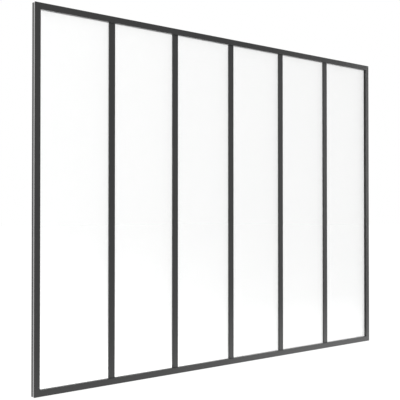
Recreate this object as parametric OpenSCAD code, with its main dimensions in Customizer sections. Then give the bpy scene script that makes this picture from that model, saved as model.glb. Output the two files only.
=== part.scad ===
// Interior glass partition: a fixed aluminium screen glazed with one row of
// tall panes. X runs along the screen, Y from the front face to the back and
// Z up. The origin is on the flat underside of the bottom rail, in the middle.

/* [Screen] */
// Overall width over the front lip
screen_w = 1830; // [1500:5:2600]
// Overall height over the front lip
screen_h = 1300; // [900:5:2400]
// Number of panes in the row
panes = 6; // [3:1:8]

/* [Frame profile] */
// Width of the frame face seen from the front, with its lip
face_w = 22.5; // [20:0.5:40]
// How far the front lip stands proud of the frame's outer side
lip_w = 1.5; // [0.5:0.5:4]
// Thickness of the profile walls
wall_t = 1.5; // [1:0.1:2]
// Depth of the hollow front chamber
chamber_d = 10.5; // [8:0.5:20]
// Thickness of the outer wall beside the glass
floor_t = 2; // [1.5:0.5:4]
// Radius of the profile's front edges
edge_r = 0.6; // [0.2:0.1:1]

/* [Wall seal] */
// Width of the pale seal strip round the outside
seal_w = 8; // [4:0.5:8]
// Depth of the rebate that the seal strip fills
seal_t = 2; // [1:0.25:3]
// Wall behind the rebate, between it and the glazing pocket
seal_wall = 1; // [0.8:0.1:2]

/* [Mullions] */
// Width of a mullion face
mullion_w = 25; // [22:0.5:50]
// How far the mullion face stands back from the frame face
setback = 4.5; // [1:0.5:6]
// Thickness of the web between two panes
web_t = 3.5; // [2.5:0.5:6]
// Wall of the mullion's front chamber
mullion_wall = 1.2; // [1:0.1:1.5]

/* [Glazing] */
// Thickness of the glass
glass_t = 4; // [3:0.5:8]
// Thickness of the gasket in front of the glass
front_gasket_t = 1; // [0.5:0.1:3]
// Thickness of the tape between glass and bead
back_tape_t = 0.7; // [0.5:0.1:3]
// How far gasket and tape stay back from the sight line
gasket_in = 0.5; // [0.2:0.1:2]
// Gap from the frame's outer wall to the edge of the glass
edge_gap = 4.5; // [2:0.5:6]
// Gap from a mullion's web to the edge of the glass
web_gap = 3; // [2:0.5:4]

/* [Back beads] */
// How far a bead reaches in from the frame's outer side
bead_w = 13; // [10:0.5:18]
// Thickness of a bead
bead_t = 3; // [2:0.5:6]
// Slope of the bead's free edge
bead_slope = 2.5; // [1:0.5:3]
// Width of the snap tongue along a bead and of its groove
snap_w = 1.2; // [0.8:0.1:1.5]
// How far the snap tongue reaches into the outer wall
snap_in = 0.8; // [0.4:0.1:1]

/* [Mullion caps] */
// Width of the cap behind a mullion
cap_w = 13; // [12:0.5:20]
// Thickness of the cap behind a mullion
cap_t = 2; // [1.5:0.5:4]
// Thickness of the cap's clip legs
clip_t = 1.2; // [0.8:0.1:1.5]
// How deep the clip legs reach beside the web
clip_d = 3; // [2:0.5:4]

/* [Fits] */
// Clearance beside clips, tongues and cut ends
fit_gap = 0.2; // [0.1:0.05:0.3]
// Length of a corner cleat's legs
cleat_leg = 70; // [40:5:120]

/* [Fixing holes] */
// Diameter of the screw holes to the wall
hole_d = 4.2; // [3:0.1:4.5]
// Distance from the ends of a rail to its outer screws
rail_hole_in = 150; // [80:5:250]
// Distance from the ends of a stile to its screws
stile_hole_in = 200; // [80:5:300]

/* [Hidden] */

powder_coat = [0.16, 0.165, 0.17];
rubber_black = [0.04, 0.04, 0.04];
mill_grey = [0.55, 0.56, 0.57];
seal_grey = [0.62, 0.62, 0.62];
clear_glass = [0.85, 0.92, 0.92, 0.35];

// Outside of the profiles behind the lip
body_w = screen_w - 2 * lip_w;
body_h = screen_h - 2 * lip_w;
// Sight line of the frame, measured from the outer side behind the lip
sight = face_w - lip_w;
// Clear opening between the stiles, shared out between the mullion centres
clear_w = body_w - 2 * sight;
pitch = clear_w / panes;
// Depths behind the front face: glass, back of the glazing, back of the frame
glass_y = chamber_d + front_gasket_t;
bead_y = glass_y + glass_t + back_tape_t;
frame_d = bead_y + bead_t;
// Front face, so that the middle of the flat underside lies at Y = 0
front_y = -(wall_t + seal_w + frame_d) / 2;
// Edge of the glass, from the frame's outer side and from a mullion's middle
glass_in = floor_t + edge_gap;
glass_off = web_t / 2 + web_gap;
// Middle of the glazing pocket, where the screws go through the outer wall
hole_y = (chamber_d + bead_y) / 2;
// Inner side of the chamber next to the seal's rebate
chamber_u = seal_t + wall_t;
cut = 1;
round_fn = 48;

// Points of an arc round (x, y), from angle a0 to a1
function arc(x, y, r, a0, a1, n = 4) =
    [for (i = [0:n]) let (a = a0 + (a1 - a0) * i / n) [x + r * cos(a), y + r * sin(a)]];

// Centre line of mullion i, counted from 1 at the left
function mullion_x(i) = -clear_w / 2 + i * pitch;

// Left and right edge of pane i
function pane_left(i) = i == 1 ? -body_w / 2 + glass_in : mullion_x(i - 1) + glass_off;
function pane_right(i) = i == panes ? body_w / 2 - glass_in : mullion_x(i) - glass_off;

// Section of the frame: first coordinate from the outer side inwards, second
// from the front face to the back. The seal's rebate keeps a wall round it.
module frame_section() difference() {
    union() {
        polygon(concat(
            arc(-lip_w + edge_r, edge_r, edge_r, 180, 270),
            arc(sight - edge_r, edge_r, edge_r, 270, 360),
            [[sight, chamber_d], [floor_t, chamber_d], [floor_t, frame_d],
             [0, frame_d], [0, wall_t], [-lip_w, wall_t]]));
        translate([0, wall_t]) square([chamber_u, seal_w + seal_wall]);
    }
    translate([-cut, wall_t]) square([seal_t + cut, seal_w]);
    translate([chamber_u, wall_t])
        square([sight - wall_t - chamber_u, chamber_d - 2 * wall_t]);
    translate([floor_t - snap_in - fit_gap, bead_y + bead_t / 2 - snap_w / 2 - fit_gap])
        square([snap_in + fit_gap + cut, snap_w + 2 * fit_gap]);
}

// Section of a glazing bead: its tongue snaps into the frame's outer wall
module bead_section() {
    polygon([
        [floor_t, bead_y], [bead_w, bead_y],
        [bead_w - bead_slope, frame_d], [floor_t, frame_d]]);
    translate([floor_t - snap_in, bead_y + bead_t / 2 - snap_w / 2])
        square([snap_in + cut, snap_w]);
}

// Section of the seal strip, which fills its rebate
module seal_section() translate([0, wall_t]) square([seal_t, seal_w]);

// Section of a mullion, centred on its web
module mullion_section() {
    half = mullion_w / 2;
    difference() {
        polygon(concat(
            arc(-half + edge_r, setback + edge_r, edge_r, 180, 270),
            arc(half - edge_r, setback + edge_r, edge_r, 270, 360),
            [[half, chamber_d], [web_t / 2, chamber_d], [web_t / 2, bead_y],
             [-web_t / 2, bead_y], [-web_t / 2, chamber_d], [-half, chamber_d]]));
        translate([-half + mullion_wall, setback + mullion_wall])
            square([mullion_w - 2 * mullion_wall, chamber_d - setback - 2 * mullion_wall]);
    }
}

// Section of the cap that clips over the back of a mullion's web
module cap_section() {
    leg_u = web_t / 2 + fit_gap;
    polygon([
        [-cap_w / 2, bead_y], [-leg_u - clip_t, bead_y],
        [-leg_u - clip_t, bead_y - clip_d], [-leg_u, bead_y - clip_d], [-leg_u, bead_y],
        [leg_u, bead_y], [leg_u, bead_y - clip_d],
        [leg_u + clip_t, bead_y - clip_d], [leg_u + clip_t, bead_y],
        [cap_w / 2, bead_y], [cap_w / 2 - cap_t, bead_y + cap_t],
        [-cap_w / 2 + cap_t, bead_y + cap_t]]);
}

// Move a piece from the front face's depth to its place in the screen
module from_front() translate([0, front_y, 0]) children();

// A bar of a section for one side of the screen, standing on its own middle
// with both ends mitred at 45 degrees. Local X is the way inwards.
module mitred_bar(length) {
    reach = max(face_w, bead_w) + cut;
    out = lip_w + cut;
    intersection() {
        translate([0, 0, -length / 2 - lip_w]) linear_extrude(length + 2 * lip_w) children();
        rotate([-90, 0, 0]) translate([0, 0, -cut]) linear_extrude(frame_d + 2 * cut)
            polygon([
                [-out, -length / 2 - out], [reach, -length / 2 + reach],
                [reach, length / 2 - reach], [-out, length / 2 + out]]);
    }
}

// Each side of the screen as a place for a bar
module at_left() from_front() translate([-body_w / 2, 0, body_h / 2]) children();
module at_right() from_front() translate([body_w / 2, 0, body_h / 2]) mirror([1, 0, 0]) children();
module at_bottom() from_front() rotate([0, -90, 0]) children();
module at_top() from_front() translate([0, 0, body_h]) rotate([0, 90, 0]) children();

// A screw hole through the outer wall at a place along a bar
module screw_hole(along) translate([-cut, hole_y, along]) rotate([0, 90, 0])
    cylinder(h = floor_t + 2 * cut, d = hole_d, $fn = round_fn);

// A stile with its two screw holes
module stile() color(powder_coat) difference() {
    mitred_bar(body_h) frame_section();
    for (side = [-1, 1]) screw_hole(side * (body_h / 2 - stile_hole_in));
}

// A rail with its four screw holes at equal steps
module rail() color(powder_coat) difference() {
    mitred_bar(body_w) frame_section();
    for (step = [-3, -1, 1, 3]) screw_hole(step * (body_w / 2 - rail_hole_in) / 3);
}

module left_stile() at_left() stile();
module right_stile() at_right() stile();
module bottom_rail() at_bottom() rail();
module top_rail() at_top() rail();

// A mullion: its chamber butts on both rails, and a tongue of its web runs on
// into their pockets
module mullion(i) color(powder_coat) from_front() translate([mullion_x(i), 0, 0]) {
    translate([0, 0, sight]) linear_extrude(body_h - 2 * sight) mullion_section();
    translate([0, 0, floor_t + fit_gap]) linear_extrude(body_h - 2 * (floor_t + fit_gap))
        translate([-web_t / 2, chamber_d + fit_gap])
            square([web_t, bead_y - chamber_d - fit_gap]);
}

// A pane of clear toughened glass
module pane(i) color(clear_glass) from_front()
    translate([pane_left(i), glass_y, glass_in])
        cube([pane_right(i) - pane_left(i), glass_t, body_h - 2 * glass_in]);

// One flat ring over the edges of a pane, from its depth and thickness, and how
// wide it is at the frame and at a mullion
module edge_ring(i, y, thick, at_frame, at_mullion) {
    left = pane_left(i);
    right = pane_right(i);
    on_left = i == 1 ? at_frame : at_mullion;
    on_right = i == panes ? at_frame : at_mullion;
    difference() {
        translate([left, y, glass_in]) cube([right - left, thick, body_h - 2 * glass_in]);
        translate([left + on_left, y - cut, glass_in + at_frame])
            cube([right - left - on_left - on_right, thick + 2 * cut,
                  body_h - 2 * (glass_in + at_frame)]);
    }
}

// The gasket in front of a pane and the tape behind it
module gaskets(i) color(rubber_black) from_front() {
    edge_ring(i, chamber_d, front_gasket_t,
        sight - gasket_in - glass_in, mullion_w / 2 - gasket_in - glass_off);
    edge_ring(i, glass_y + glass_t, back_tape_t,
        bead_w - gasket_in - glass_in, cap_w / 2 - gasket_in - glass_off);
}

module bead(length) color(powder_coat) mitred_bar(length) bead_section();
module left_bead() at_left() bead(body_h);
module right_bead() at_right() bead(body_h);
module bottom_bead() at_bottom() bead(body_w);
module top_bead() at_top() bead(body_w);

// A cap, butted between the top and bottom beads
module mullion_cap(i) color(powder_coat) from_front()
    translate([mullion_x(i), 0, bead_w + fit_gap])
        linear_extrude(body_h - 2 * (bead_w + fit_gap)) cap_section();

module seal(length) color(seal_grey) mitred_bar(length) seal_section();
module left_seal() at_left() seal(body_h);
module right_seal() at_right() seal(body_h);
module bottom_seal() at_bottom() seal(body_w);
module top_seal() at_top() seal(body_w);

// An angle cleat that fills the chambers of two bars where they meet, as it
// lies at the bottom left corner
module cleat() {
    outer = chamber_u + fit_gap;
    inner = sight - wall_t - fit_gap;
    color(mill_grey) translate([-body_w / 2, chamber_d - wall_t - fit_gap, 0]) rotate([90, 0, 0])
        linear_extrude(chamber_d - 2 * (wall_t + fit_gap))
            polygon([[outer, outer], [cleat_leg, outer], [cleat_leg, inner],
                     [inner, inner], [inner, cleat_leg], [outer, cleat_leg]]);
}
module at_corner(right, top) from_front() translate([0, 0, body_h / 2])
    mirror([right, 0, 0]) mirror([0, 0, top]) translate([0, 0, -body_h / 2]) children();

left_stile();
right_stile();
top_rail();
bottom_rail();
for (i = [1:panes - 1]) mullion(i);
for (i = [1:panes]) pane(i);
for (i = [1:panes]) gaskets(i);
left_bead();
right_bead();
top_bead();
bottom_bead();
for (i = [1:panes - 1]) mullion_cap(i);
left_seal();
right_seal();
top_seal();
bottom_seal();
at_corner(0, 1) cleat();  // top_left_cleat
at_corner(1, 1) cleat();  // top_right_cleat
at_corner(0, 0) cleat();  // bottom_left_cleat
at_corner(1, 0) cleat();  // bottom_right_cleat
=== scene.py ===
import math

import bmesh
import bpy
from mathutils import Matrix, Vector


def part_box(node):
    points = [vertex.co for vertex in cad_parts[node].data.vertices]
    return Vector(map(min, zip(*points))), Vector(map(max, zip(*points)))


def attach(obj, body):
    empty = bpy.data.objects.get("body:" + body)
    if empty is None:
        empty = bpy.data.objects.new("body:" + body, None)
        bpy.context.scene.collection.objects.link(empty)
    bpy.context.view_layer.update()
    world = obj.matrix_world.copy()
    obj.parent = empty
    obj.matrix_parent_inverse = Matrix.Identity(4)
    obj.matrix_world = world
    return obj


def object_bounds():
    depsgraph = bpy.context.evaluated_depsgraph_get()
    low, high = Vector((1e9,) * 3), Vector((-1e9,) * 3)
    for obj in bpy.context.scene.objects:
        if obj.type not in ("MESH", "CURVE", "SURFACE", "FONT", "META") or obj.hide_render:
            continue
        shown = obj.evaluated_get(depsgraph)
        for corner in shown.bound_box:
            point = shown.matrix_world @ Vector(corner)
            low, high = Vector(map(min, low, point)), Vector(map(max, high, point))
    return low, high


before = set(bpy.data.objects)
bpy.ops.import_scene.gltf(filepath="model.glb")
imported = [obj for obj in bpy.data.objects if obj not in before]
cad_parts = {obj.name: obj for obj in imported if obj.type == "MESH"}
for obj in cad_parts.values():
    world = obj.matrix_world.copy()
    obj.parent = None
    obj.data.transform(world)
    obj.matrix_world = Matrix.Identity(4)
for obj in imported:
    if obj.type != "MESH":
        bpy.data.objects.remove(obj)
cad_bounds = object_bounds()
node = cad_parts
scene = bpy.context.scene

# The viewpoint: a short telephoto lens a little below the middle of the screen's
# height, off its left end and looking across it at about 43 degrees.
camera_place = (-2.4062, -2.4210, 0.6056)
camera_tilt, camera_turn = 0.01426, -0.74732
camera = bpy.data.objects.new("camera", bpy.data.cameras.new("camera"))
camera.data.sensor_fit = "HORIZONTAL"
camera.data.sensor_width = 36
camera.data.lens = 76.38
camera.location = camera_place
camera.rotation_euler = (math.pi / 2 + camera_tilt, 0, camera_turn)
scene.collection.objects.link(camera)
scene.camera = camera

# Stiles and rails: one hollow aluminium extrusion, cut to 45 degree mitres, cleated
# at the corners and powder coated in a dark anthracite with a fine satin texture.
frame_bars = ["left_stile", "right_stile", "top_rail", "bottom_rail"]
lip_low, lip_high = cad_bounds
face_width = 0.0225
mitre_gap = 0.0004
seam_reach = face_width + 0.001
seam_depth = 0.0002
anthracite = (0.006, 0.006, 0.0063, 1)
anthracite_light = (0.0215, 0.0215, 0.0218, 1)
joint_dark = (0.004, 0.004, 0.004, 1)
pebble_depth = 0.00006


class Shade:
    """A node's output socket, on which Python's operators add Math nodes."""

    def __init__(self, socket):
        self.socket = socket

    def add(self, kind, settings=None, inputs=None, out=0):
        """Adds a node beside this one: its settings first, then its values or links."""
        tree = self.socket.id_data
        made = tree.nodes.new(kind)
        for name, value in (settings or {}).items():
            setattr(made, name, value)
        for name, value in (inputs or {}).items():
            if isinstance(value, Shade):
                tree.links.new(value.socket, made.inputs[name])
            else:
                made.inputs[name].default_value = value
        return Shade(made.outputs[out])

    def math(self, operation, first, second=0.0):
        return self.add("ShaderNodeMath", {"operation": operation}, {0: first, 1: second})

    def __add__(self, other):
        return self.math("ADD", self, other)

    def __sub__(self, other):
        return self.math("SUBTRACT", self, other)

    def __mul__(self, other):
        return self.math("MULTIPLY", self, other)

    def __truediv__(self, other):
        return self.math("DIVIDE", self, other)

    def __rsub__(self, other):
        return self.math("SUBTRACT", other, self)

    def __rtruediv__(self, other):
        return self.math("DIVIDE", other, self)

    def __neg__(self):
        return self.math("MULTIPLY", self, -1.0)

    def __abs__(self):
        return self.math("ABSOLUTE", self)

    def __lt__(self, other):
        return self.math("LESS_THAN", self, other)

    __radd__, __rmul__ = __add__, __mul__

    def smaller(self, other):
        return self.math("MINIMUM", self, other)

    def larger(self, other):
        return self.math("MAXIMUM", self, other)

    def held(self):
        """Clamped between 0 and 1."""
        return self.larger(0.0).smaller(1.0)

    def part(self, name):
        """One coordinate of a vector."""
        return self.add("ShaderNodeSeparateXYZ", {}, {0: self}, out=name)

    def noise(self, per_metre, detail=2.0, rough=0.5):
        return self.add("ShaderNodeTexNoise", {},
                        {"Vector": self, "Scale": per_metre, "Detail": detail, "Roughness": rough})

    def between(self, first, second):
        """A colour between two others, by this socket's value."""
        return self.add("ShaderNodeMix", {"data_type": "RGBA"},
                        {0: self, 6: first, 7: second}, out=2)

    def bump(self, strength, depth, under=None):
        """A normal from this socket's value as a height, over another bump if given."""
        inputs = {"Height": self, "Strength": strength, "Distance": depth}
        if under:
            inputs["Normal"] = under
        return self.add("ShaderNodeBump", {}, inputs)


def finish(name, **plain):
    """A material, its shader, and its place in the object's own metres."""
    made = bpy.data.materials.new(name)
    made.use_nodes = True
    shader = made.node_tree.nodes["Principled BSDF"]
    for socket, value in plain.items():
        shader.inputs[socket.replace("_", " ")].default_value = value
    coords = made.node_tree.nodes.new("ShaderNodeTexCoord")
    return made, shader, Shade(coords.outputs["Object"])


def feed(shader, **varying):
    for socket, value in varying.items():
        shader.id_data.links.new(value.socket, shader.inputs[socket.replace("_", " ")])


def dress(names, material):
    for name in names:
        slots = node[name].data.materials
        slots.clear()
        slots.append(material)


def powder_coat(name):
    """Satin powder coat: a slow drift of tone under a fine pebbled skin."""
    coat, shader, place = finish(name, IOR=1.42, Coat_Weight=0.35, Coat_Roughness=0.12)
    drift = place.noise(per_metre=5, detail=3)
    pebble = place.noise(per_metre=1400, detail=2)
    tone = (drift * 0.3 + ((pebble - 0.3) * 2.5).held() * 0.7).held()
    paint = tone.between(anthracite, anthracite_light)
    skin = pebble.bump(0.3, pebble_depth)
    feed(shader, Roughness=0.26 + drift * 0.08 + pebble * 0.06)
    return coat, shader, place, paint, skin


bar_coat, shader, place, paint, skin = powder_coat("frame powder coat")
from_side = lip_high[0] - abs(place.part("X"))
from_end = (place.part("Z") - lip_low[2]).smaller(lip_high[2] - place.part("Z"))
seam = (abs(from_side - from_end) < mitre_gap / 2) * (from_side < seam_reach)
feed(shader,
     Base_Color=seam.between(paint, joint_dark),
     Normal=(1 - seam).bump(0.5, seam_depth, skin))
dress(frame_bars, bar_coat)

# Mullions: a shallow hollow front that butts on both rails, with a web behind it
# whose tongue runs on into their pockets; the same coat, dark at the thin joints.
mullions = [name for name in node if name.startswith("mullion_") and "cap" not in name]
mullion_coat, shader, place, paint, skin = powder_coat("mullion powder coat")
sight_low, sight_high = lip_low[2] + face_width, lip_high[2] - face_width
from_end = (place.part("Z") - sight_low).smaller(sight_high - place.part("Z"))
joint = abs(from_end) < mitre_gap
feed(shader,
     Base_Color=joint.between(paint, joint_dark),
     Normal=skin)
dress(mullions, mullion_coat)

# Panes: 4 mm clear toughened float glass, set from the back, with the faint wave
# that the furnace rollers leave, a trace of wiping marks, and a thin bloom on the
# surface in which the dark bars are mirrored softly.
panes = [name for name in node if name.startswith("pane_")]
glass_tint = (0.981, 0.984, 0.982, 1)
shadow_tint = (0.93, 0.95, 0.94, 1)
glass, shader, place = finish("clear float glass", Base_Color=glass_tint, IOR=1.5,
                              Transmission_Weight=1.0, Coat_Weight=1.0,
                              Coat_Roughness=0.7, Coat_IOR=1.8)
wipe = place.noise(per_metre=9, detail=4)
wave = place.noise(per_metre=3.2, detail=1)
feed(shader,
     Roughness=wipe * 0.012,
     Normal=wave.bump(0.1, 0.00002))
tree = glass.node_tree
path = tree.nodes.new("ShaderNodeLightPath")
unseen = Shade(path.outputs["Is Shadow Ray"]).larger(Shade(path.outputs["Is Diffuse Ray"]))
clear = unseen.add("ShaderNodeBsdfTransparent", {}, {0: shadow_tint})
passed = unseen.add("ShaderNodeMixShader", {},
                    {0: unseen, 1: Shade(shader.outputs[0]), 2: clear})
tree.links.new(passed.socket, tree.nodes["Material Output"].inputs[0])
dress(panes, glass)

# Gaskets: a black rubber strip between the bars and the front of each pane, and
# thin black foam tape between the glass and the beads behind it.
gasket_rings = [name for name in node if name.startswith("gaskets_")]
rubber_black = (0.005, 0.005, 0.005, 1)
rubber_worn = (0.009, 0.009, 0.0092, 1)
rubber, shader, place = finish("black gasket rubber", IOR=1.5, Specular_IOR_Level=0.3)
grain = place.noise(per_metre=2200, detail=3)
feed(shader,
     Base_Color=grain.between(rubber_black, rubber_worn),
     Roughness=0.25 + grain * 0.1,
     Normal=grain.bump(0.25, 0.00005))
dress(gasket_rings, rubber)

# Gasket legs: where a pane meets a stile or a rail, the front gasket carries a thin
# black leg over the rear of the bar's inner side, flared where it wipes the glass.
# Each point of its section, in millimetres: off a stile, off a rail, behind the face.
leg_section = [(-0.05, -0.05, 4.7), (0.05, 0.05, 4.7), (0.12, 0.12, 4.8), (0.15, 0.15, 5.0),
               (0.12, 0.12, 7.8), (0.15, 0.15, 10.4), (0.25, 0.22, 10.9), (0.6, 0.3, 11.25),
               (0.7, 0.3, 11.4), (0.7, 0.3, 11.48), (-0.45, -0.45, 11.48), (-0.45, -0.45, 10.55),
               (-0.05, -0.05, 10.5)]
leg_end_gap = 0.00005
face_y = lip_low[1]
sight_side = lip_high[0] - face_width


def gasket_leg(name, runs):
    """One leg for each run, which is a line of bends: place and way in across the opening."""
    mesh = bpy.data.meshes.new(name)
    shape = bmesh.new()
    count = len(leg_section)
    for run in runs:
        rings = [[shape.verts.new((x + into_x * by_stile / 1000, face_y + depth / 1000,
                                   z + into_z * by_rail / 1000))
                  for by_stile, by_rail, depth in leg_section] for x, z, into_x, into_z in run]
        for ring, following in zip(rings, rings[1:]):
            for k in range(count):
                after = (k + 1) % count
                shape.faces.new((ring[k], ring[after], following[after], following[k]))
        shape.faces.new(rings[0])
        shape.faces.new(rings[-1])
    bmesh.ops.recalc_face_normals(shape, faces=shape.faces)
    shape.to_mesh(mesh)
    shape.free()
    mesh.materials.append(rubber)
    leg = bpy.data.objects.new(name, mesh)
    scene.collection.objects.link(leg)
    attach(leg, "root")


mullion_sides = [(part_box(name)[0][0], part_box(name)[1][0]) for name in sorted(mullions)]
for number in range(1, len(panes) + 1):
    first, last = number == 1, number == len(panes)
    left = -sight_side if first else mullion_sides[number - 2][1] + leg_end_gap
    right = sight_side if last else mullion_sides[number - 1][0] - leg_end_gap
    low = [(left, sight_low, 0, 1), (right, sight_low, 0, 1)]
    high = [(left, sight_high, 0, -1), (right, sight_high, 0, -1)]
    if first:
        runs = [[low[1], (left, sight_low, 1, 1), (left, sight_high, 1, -1), high[1]]]
    elif last:
        runs = [[low[0], (right, sight_low, -1, 1), (right, sight_high, -1, -1), high[0]]]
    else:
        runs = [low, high]
    gasket_leg(f"gasket_leg_{number}", runs)

# Back trim: beads that snap into the outer wall round the frame, and caps that
# clip over the webs of the mullions, all in the same coat as the bars.
trim = [name for name in node if name.endswith("_bead") or name.startswith("mullion_cap_")]
trim_coat, shader, place, paint, skin = powder_coat("trim powder coat")
feed(shader, Base_Color=paint, Normal=skin)
dress(trim, trim_coat)

# Seal: a strip of pale grey closed-cell foam rubber, pressed into its rebate round
# the outer side, where it meets the wall of the opening.
seals = [name for name in node if name.endswith("_seal")]
foam_grey = (0.48, 0.48, 0.48, 1)
foam_pale = (0.68, 0.68, 0.68, 1)
foam, shader, place = finish("grey seal foam", IOR=1.45)
cells = place.noise(per_metre=1800, detail=3, rough=0.6)
patch = place.noise(per_metre=25, detail=2)
feed(shader,
     Base_Color=(cells * 0.6 + patch * 0.4).held().between(foam_grey, foam_pale),
     Roughness=0.75 + cells * 0.2,
     Normal=cells.bump(0.4, 0.0001))
dress(seals, foam)

# Corner cleats: sawn aluminium angles inside the chambers, left in the mill finish
# with the fine lines of the extrusion die.
cleats = [name for name in node if name.endswith("_cleat")]
mill_dull = (0.52, 0.53, 0.54, 1)
mill_bright = (0.62, 0.63, 0.64, 1)
die_lines = (1, 60, 1)
mill, shader, place = finish("mill aluminium", Metallic=1.0)
stretched = place.add("ShaderNodeMapping", {}, {0: place, 3: die_lines})
lines = stretched.noise(per_metre=40, detail=2)
feed(shader,
     Base_Color=lines.between(mill_dull, mill_bright),
     Roughness=0.3 + lines * 0.2,
     Normal=lines.bump(0.15, 0.00005))
dress(cleats, mill)

# The studio: a pale floor just under the screen, white all round for the eye, with painted
# light in what mirrors and glass show of it, and soft light from overhead and from far to the
# right.
floor_half = 30
floor_gap = 0.0002
floor_grey = (0.8, 0.8, 0.8, 1)
floor_glow = 2.4
seen_share, mirror_share = 0.85, 0.95
strip_depth, strip_widens = 0.8, 0.7
horizon_light = 0.028
world_fill = 0.75
floor_mesh = bpy.data.meshes.new("floor")
floor_mesh.from_pydata([(x * floor_half, y * floor_half, lip_low[2] - floor_gap)
                        for x, y in ((-1, -1), (1, -1), (1, 1), (-1, 1))], [], [(0, 1, 2, 3)])
floor = bpy.data.objects.new("floor", floor_mesh)
scene.collection.objects.link(floor)


def ray_kinds(path):
    """What sees the white of the studio: the eye, the eye through glass, and mirror rays."""
    mirrored = 1 - (Shade(path.outputs["Glossy Depth"]) < 0.5)
    return (Shade(path.outputs["Is Camera Ray"]),
            Shade(path.outputs["Is Transmission Ray"]) * (1 - mirrored), mirrored)


def studio_level(x, y):
    """How white the studio is to a mirror ray: white, but dimmer to the front right."""
    leftward = (1.6 - x * 1.45).held()
    backward = (y * 1.6 + 0.5).held()
    return leftward + (1 - leftward) * backward


def through_glass(x):
    """How white the studio is to the eye through glass: a little dimmer to the right."""
    return 1.202 - x * 0.31


# The floor's glow for those rays is painted light, not its own white: for mirror rays painted
# pools of light brighten it in a strip before the screen and far behind its right end, and through
# glass it is brighter nearby.
pale, shader, place = finish("pale floor", Base_Color=floor_grey, Roughness=0.9)
tree = pale.node_tree
seen, glazed, mirrored = ray_kinds(tree.nodes.new("ShaderNodeLightPath"))
across, back = place.part("X"), place.part("Y")
away = place.add("ShaderNodeVectorMath", {"operation": "LENGTH"}, {0: place}, out="Value") + 0.1
# Painted light on the floor: a bright strip before the screen, a bright patch far behind its right
# end, more glow near the screen for mirror rays, and more glow nearby through glass.
to_front = -back / (strip_depth + across.held() * strip_widens)
painted_front_strip = (1 - to_front).held() * (1 - back * 4).held()
painted_rear_patch = (back / 2 - 0.5).held() * (across / 2).held()
level = studio_level(across / away, back / away)
level = level + (1 - level) / (1 + away / 3)
level = level * (1 + painted_front_strip * (0.45 + (across + 0.5).held() * 0.7) + painted_rear_patch * 0.8)
glazed_level = through_glass(across / away) + 0.04 + 0.1 / (1 + away / 1.2)
white = seen.add("ShaderNodeEmission", {}, {0: (1, 1, 1, 1), 1: floor_glow})
shown = seen.add("ShaderNodeMixShader", {},
                 {0: (seen * 1.12 + glazed * glazed_level + mirrored * level) / floor_glow,
                  2: white})
mixed = seen.add("ShaderNodeMixShader", {},
                 {0: seen * seen_share + glazed.larger(mirrored) * mirror_share,
                  1: Shade(shader.outputs[0]), 2: shown})
tree.links.new(mixed.socket, tree.nodes["Material Output"].inputs[0])
floor_mesh.materials.append(pale)

# The world: the same white beyond the floor, a little lighter near the horizon through
# glass, and a plain fill on everything that isn't looked at or mirrored.
world = bpy.data.worlds.new("studio")
world.use_nodes = True
scene.world = world
tree = world.node_tree
look = Shade(tree.nodes.new("ShaderNodeTexCoord").outputs["Generated"])
seen, glazed, mirrored = ray_kinds(tree.nodes.new("ShaderNodeLightPath"))
level = studio_level(look.part("X"), look.part("Y"))
near_horizon = (1 - look.part("Z") * 4).held()
glazed_level = through_glass(look.part("X")) + near_horizon * horizon_light
strength = seen + glazed * glazed_level + mirrored * level
strength = strength + (1 - seen.larger(glazed).larger(mirrored)) * world_fill
background = tree.nodes["Background"].inputs
background["Color"].default_value = (1, 1, 1, 1)
tree.links.new(strength.socket, background["Strength"])

# Softboxes: each with its place, the point it aims at, its size and its watts.
softboxes = {
    "overhead": ((0, -0.6, 3.6), (0, 0, 0.6), (4.5, 2.5), 40),
    "right": ((5.2, -1.2, 1.0), (0.6, 0, 0.8), (1.8, 2.8), 100),
}
for name, (at, aim, size, watts) in softboxes.items():
    lamp = bpy.data.objects.new(name, bpy.data.lights.new(name, "AREA"))
    lamp.data.shape = "RECTANGLE"
    lamp.data.size, lamp.data.size_y = size
    lamp.data.energy = watts
    lamp.location = at
    lamp.rotation_mode = "QUATERNION"
    lamp.rotation_quaternion = (Vector(aim) - Vector(at)).to_track_quat("-Z", "Y")
    scene.collection.objects.link(lamp)

scene.view_settings.view_transform = "Standard"
